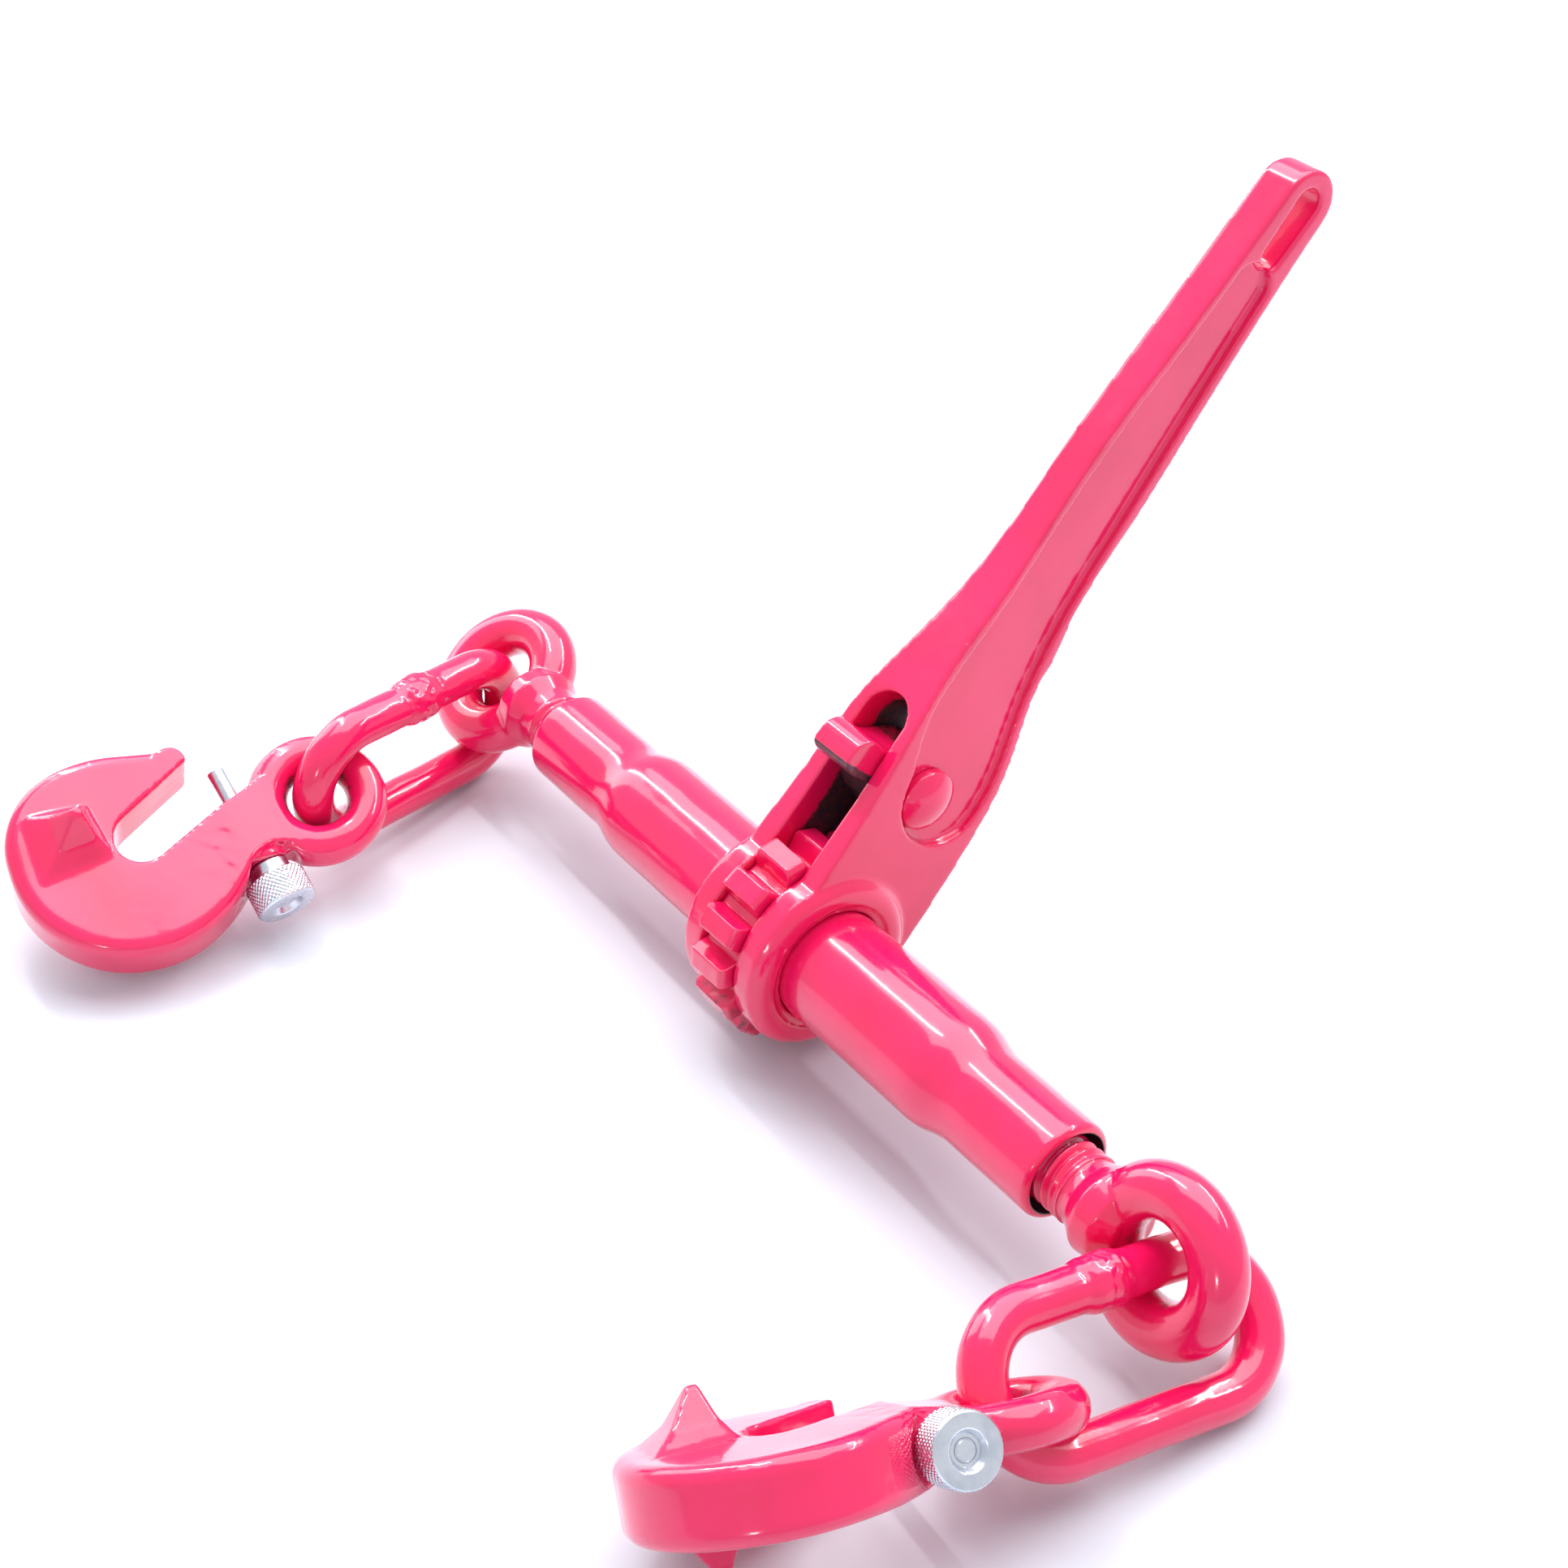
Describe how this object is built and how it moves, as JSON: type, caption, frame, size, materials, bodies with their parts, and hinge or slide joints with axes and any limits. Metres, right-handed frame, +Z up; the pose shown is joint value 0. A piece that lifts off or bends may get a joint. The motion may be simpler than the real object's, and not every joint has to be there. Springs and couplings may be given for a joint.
{
  "type": "ratchet load binder",
  "caption": "Ratchet load binder: a lever-turned barrel draws in two eye screws, each with a link and a locking grab hook.",
  "frame": {"origin": "under the middle of the whole binder, on the floor it lies on", "axes": "+X along the barrel towards the right-hand screw, +Y away from the hooks, the way the raised handle leans, +Z up"},
  "size_m": [0.2492, 0.235, 0.1495],
  "materials": {
    "cast_red": "thick glossy crimson coat over forged steel",
    "tube_red": "glossy crimson coat over turned steel tube",
    "gear_red": "crimson coat worn to dark steel on the tooth flanks",
    "pawl_red": "crimson coat on the tab, bare dark steel inside",
    "zinc": "bright zinc plate, knurled on the knob",
    "dark_steel": "bare dark steel with a thin oil film"
  },
  "bodies": {
    "handle_body": {"handle": "cast_red", "pawl_pin": "cast_red", "plunger_spring": "dark_steel"},
    "barrel_body": {"barrel": "tube_red", "ratchet_gear": "gear_red"},
    "pawl_body": {"pawl": "pawl_red"},
    "plunger_body": {"plunger": "dark_steel"},
    "screw_left_body": {"eyebolt_left": "cast_red", "stop_ring_left": "dark_steel"},
    "link_left_body": {"link_left": "cast_red"},
    "hook_left_body": {"hook_left": "cast_red", "lock_bush_left": "zinc", "lock_spring_left": "zinc"},
    "lock_left_body": {"lock_pin_left": "zinc", "lock_knob_left": "zinc"},
    "screw_right_body": {"eyebolt_right": "cast_red", "stop_ring_right": "dark_steel"},
    "link_right_body": {"link_right": "cast_red"},
    "hook_right_body": {"hook_right": "cast_red", "lock_bush_right": "zinc", "lock_spring_right": "zinc"},
    "lock_right_body": {"lock_pin_right": "zinc", "lock_knob_right": "zinc"}
  },
  "joints": [
    {"name": "barrel_spin", "type": "hinge", "parent": "handle_body", "child": "barrel_body", "pos_m": [-0.0019, -0.00268, 0.02202], "axis": [1, 0, 0], "range_deg": [-7920, 720]},
    {"name": "pawl_rock", "type": "hinge", "parent": "handle_body", "child": "pawl_body", "pos_m": [-0.0019, 0.02199, 0.04824], "axis": [1, 0, 0], "range_deg": [-12, 20]},
    {"name": "plunger_slide", "type": "slide", "parent": "handle_body", "child": "plunger_body", "axis": [0, 0.6852, 0.7284], "range_m": [0, 0.002], "stiffness_N_per_m": 2000, "springref_m": -0.001, "deforming": ["plunger_spring"]},
    {"name": "screw_left", "type": "slide", "parent": "handle_body", "child": "screw_left_body", "axis": [1, 0, 0], "range_m": [-0.044, 0.004]},
    {"name": "link_left_swing", "type": "hinge", "parent": "screw_left_body", "child": "link_left_body", "pos_m": [-0.10688, -0.01389, 0.01659], "axis": [0.9667, 0.2396, -0.0897], "range_deg": [-40, 40]},
    {"name": "hook_left_swing", "type": "hinge", "parent": "link_left_body", "child": "hook_left_body", "pos_m": [-0.0962, -0.05503, 0.01937], "axis": [-0.4807, 0.1115, -0.8698], "range_deg": [-50, 50]},
    {"name": "lock_left_pull", "type": "slide", "parent": "hook_left_body", "child": "lock_left_body", "axis": [0.8745, -0.0114, -0.4848], "range_m": [0, 0.007], "stiffness_N_per_m": 600, "springref_m": -0.004, "deforming": ["lock_spring_left"]},
    {"name": "screw_right", "type": "slide", "parent": "handle_body", "child": "screw_right_body", "axis": [1, 0, 0], "range_m": [-0.004, 0.044]},
    {"name": "link_right_swing", "type": "hinge", "parent": "screw_right_body", "child": "link_right_body", "pos_m": [0.11107, -0.00538, 0.01346], "axis": [0.647, 0.0547, 0.7606], "range_deg": [-10, 20]},
    {"name": "hook_right_swing", "type": "hinge", "parent": "link_right_body", "child": "hook_right_body", "pos_m": [0.10963, -0.04303, 0.01685], "axis": [0.6173, -0.2269, -0.7533], "range_deg": [-50, 50]},
    {"name": "lock_right_pull", "type": "slide", "parent": "hook_right_body", "child": "lock_right_body", "axis": [0.7622, -0.0648, 0.6441], "range_m": [0, 0.007], "stiffness_N_per_m": 600, "springref_m": -0.004, "deforming": ["lock_spring_right"]}
  ],
  "couplings": [
    {"joint": "screw_left", "follows": "barrel_spin", "m_per_rad": 0.00031831},
    {"joint": "screw_right", "follows": "barrel_spin", "m_per_rad": -0.00031831}
  ]
}
